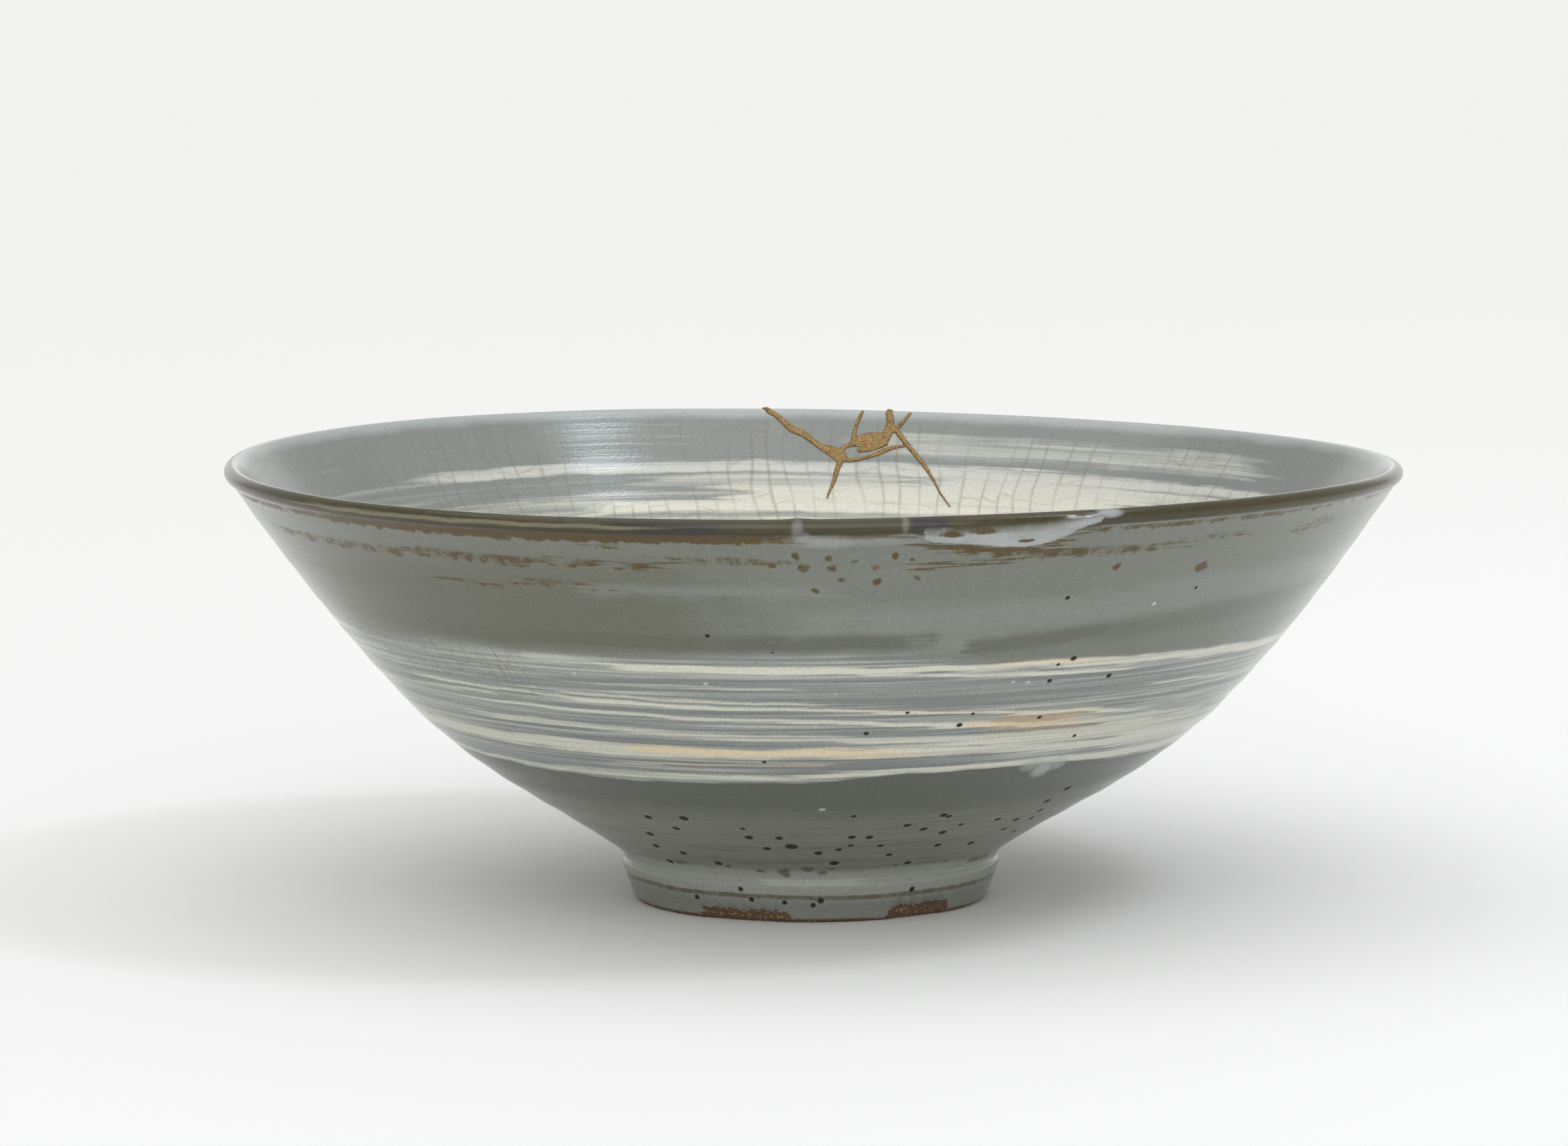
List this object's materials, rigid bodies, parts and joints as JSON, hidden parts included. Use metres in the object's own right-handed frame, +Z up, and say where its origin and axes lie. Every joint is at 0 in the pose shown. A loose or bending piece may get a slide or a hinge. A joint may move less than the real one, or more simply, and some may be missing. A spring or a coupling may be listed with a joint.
{
  "type": "tea bowl",
  "caption": "Wide flaring stoneware tea bowl on a low turned foot ring, with a rolled lip and a gold lacquer repair at the rim.",
  "frame": {"origin": "on the axis of the rim, at the height of the foot ring's underside", "axes": "+Z up the bowl's axis out of its mouth; -Y towards the side with the pale glaze run over the lip; +Y towards the gold lacquer repair"},
  "size_m": [0.17, 0.17, 0.0646],
  "materials": {
    "glazed_stoneware": "semi-gloss grey-green glaze over dark stoneware with brushed cream slip, rust marks, pinholes and fine crackle; bare brown clay at the foot's edge",
    "gold_lacquer": "burnished gold powder on raised lacquer, satin, worn through to reddish brown at its thin ends"
  },
  "bodies": {
    "root": {"bowl": "glazed_stoneware", "gold_lacquer_repair": "gold_lacquer"}
  },
  "joints": []
}
